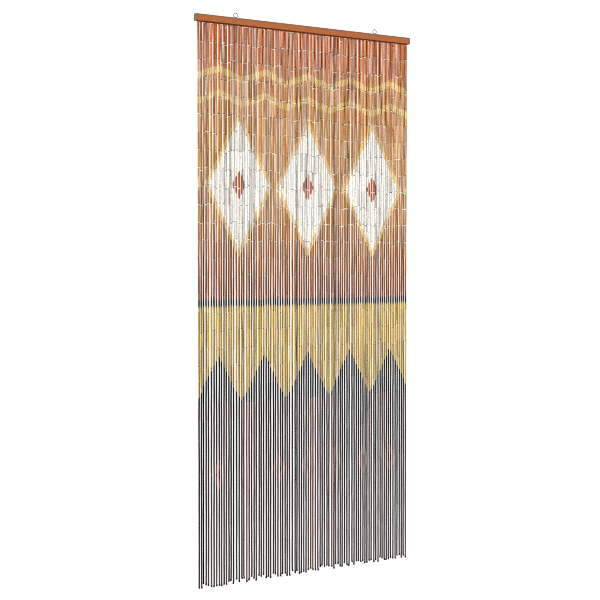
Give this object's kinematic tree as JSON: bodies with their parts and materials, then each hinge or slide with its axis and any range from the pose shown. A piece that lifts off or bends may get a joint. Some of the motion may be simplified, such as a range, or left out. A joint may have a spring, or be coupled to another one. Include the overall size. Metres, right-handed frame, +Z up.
{
  "type": "bamboo door curtain with its rail",
  "caption": "Bamboo string door curtain: hollow tubes linked by wire hang in a row from a slim wooden rail with screw eyes, to screen a doorway.",
  "frame": {"origin": "midway between the centres of the rings of the two screw eyes that hold the rail up", "axes": "+X along the rail to the right seen from the front, -Y the front, +Z up"},
  "size_m": [0.9, 0.014, 2.0268],
  "materials": {
    "rail_wood": "stained orange brown, satin",
    "bamboo": "painted thin bamboo, satin",
    "eye_steel": "zinc plated",
    "link_wire": "dark annealed wire"
  },
  "bodies": {
    "root": {"rail": "rail_wood", "eye_left": "eye_steel", "eye_right": "eye_steel", "strands": "bamboo"}
  },
  "joints": []
}
